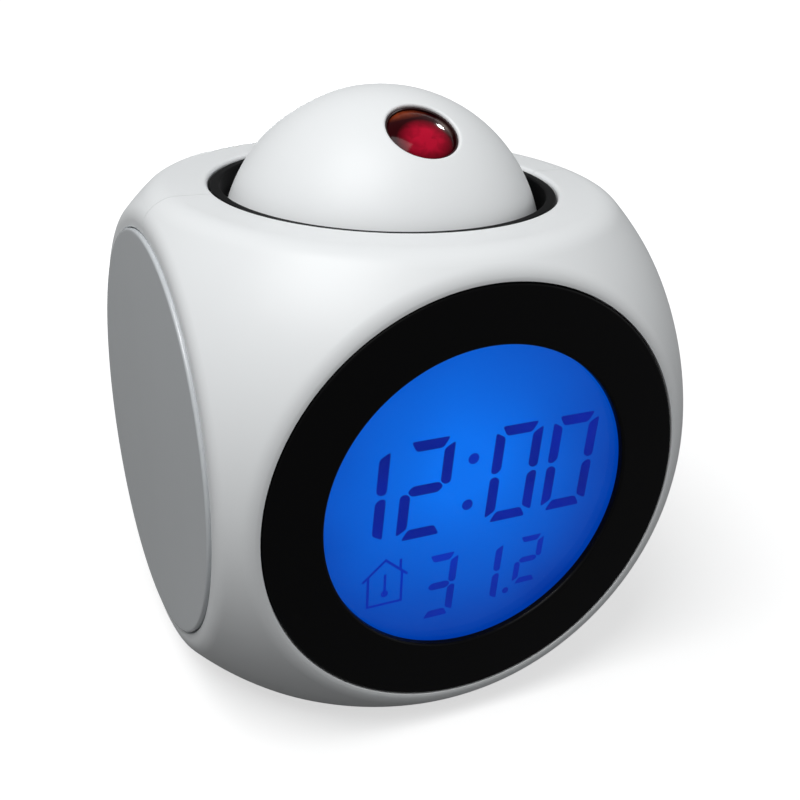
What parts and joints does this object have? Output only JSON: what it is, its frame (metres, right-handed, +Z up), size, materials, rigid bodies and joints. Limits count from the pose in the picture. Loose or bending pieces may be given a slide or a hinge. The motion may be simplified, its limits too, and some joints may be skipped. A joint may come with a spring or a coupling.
{
  "type": "projection alarm clock",
  "caption": "Rounded-cube projection alarm clock with a round backlit display and a tilting, press-down projector ball in its top.",
  "frame": {"origin": "centre of the clock's footprint, on the surface that its feet stand on", "axes": "+Z up; the display faces -Y; +X to the right of someone facing the display"},
  "size_m": [0.0836, 0.082, 0.0987],
  "materials": {
    "case_white": "white moulded ABS, semi-gloss",
    "cap_grey": "pale grey moulded ABS, satin",
    "bezel_black": "black moulded ABS",
    "window_clear": "clear acrylic",
    "display_blue": "blue backlit liquid crystal display",
    "guide_clear": "acrylic light guide",
    "frame_white": "white moulded ABS",
    "rubber_grey": "moulded rubber",
    "board_green": "glass epoxy circuit board",
    "part_black": "moulded epoxy and black plastic",
    "screw_steel": "zinc plated steel",
    "spring_steel": "nickel plated steel",
    "socket_black": "black moulded ABS, satin",
    "ball_white": "white moulded ABS, semi-gloss",
    "lens_red": "red-tinted moulded acrylic lens",
    "button_grey": "grey moulded keys",
    "cell_jacket": "printed cell jacket, plain"
  },
  "bodies": {
    "case": {"front_housing": "case_white", "rear_housing": "case_white", "left_side_cap": "cap_grey", "right_side_cap": "cap_grey", "rubber_feet": "rubber_grey", "display_bezel": "bezel_black", "display_window": "window_clear", "lcd_panel": "display_blue", "light_guide": "guide_clear", "backlight_lamps": "frame_white", "lcd_frame": "frame_white", "zebra_strip": "rubber_grey", "main_board": "board_green", "board_parts": "part_black", "temperature_sensor": "part_black", "board_screws": "screw_steel", "speaker": "part_black", "speaker_clip": "frame_white", "clip_screws": "screw_steel", "case_screws": "screw_steel", "return_springs": "spring_steel", "press_switch": "part_black", "button_board": "board_green", "push_switches": "part_black", "switch_screws": "screw_steel", "slide_switch": "part_black", "slide_screws": "screw_steel", "battery_cells": "cell_jacket", "battery_contacts": "spring_steel", "battery_springs": "spring_steel"},
    "cradle": {"projector_cradle": "socket_black", "pivot_pins": "screw_steel"},
    "ball": {"ball_upper_shell": "ball_white", "ball_lower_shell": "ball_white", "ball_screws": "screw_steel", "projector_board": "board_green", "lens_barrel": "part_black", "lens_ring": "bezel_black", "projector_lens": "lens_red", "image_lcd": "guide_clear", "image_lcd_mount": "part_black", "projector_lamp": "lens_red"},
    "mode_button": {"mode_button": "button_grey"},
    "set_button": {"set_button": "button_grey"},
    "up_button": {"up_button": "button_grey"},
    "down_button": {"down_button": "button_grey"},
    "slide_knob": {"slide_knob": "part_black"},
    "battery_door": {"battery_door": "case_white"}
  },
  "joints": [
    {"name": "ball_press", "type": "slide", "parent": "case", "child": "cradle", "axis": [0, 0, -1], "range_m": [0, 0.0015], "stiffness_N_per_m": 600, "springref_m": -0.003, "deforming": ["return_springs"]},
    {"name": "ball_tilt", "type": "hinge", "parent": "cradle", "child": "ball", "pos_m": [0, 0, 0.0712], "axis": [1, 0, 0], "range_deg": [-81, 19]},
    {"name": "mode_press", "type": "slide", "parent": "case", "child": "mode_button", "axis": [0, -1, 0], "range_m": [0, 0.0008], "stiffness_N_per_m": 500, "springref_m": -0.0008},
    {"name": "set_press", "type": "slide", "parent": "case", "child": "set_button", "axis": [0, -1, 0], "range_m": [0, 0.0008], "stiffness_N_per_m": 500, "springref_m": -0.0008},
    {"name": "up_press", "type": "slide", "parent": "case", "child": "up_button", "axis": [0, -1, 0], "range_m": [0, 0.0008], "stiffness_N_per_m": 500, "springref_m": -0.0008},
    {"name": "down_press", "type": "slide", "parent": "case", "child": "down_button", "axis": [0, -1, 0], "range_m": [0, 0.0008], "stiffness_N_per_m": 500, "springref_m": -0.0008},
    {"name": "projector_switch_slide", "type": "slide", "parent": "case", "child": "slide_knob", "axis": [1, 0, 0], "range_m": [0, 0.003]},
    {"name": "battery_door_lift", "type": "slide", "parent": "case", "child": "battery_door", "axis": [0, 1, 0], "range_m": [0, 0.012]}
  ]
}
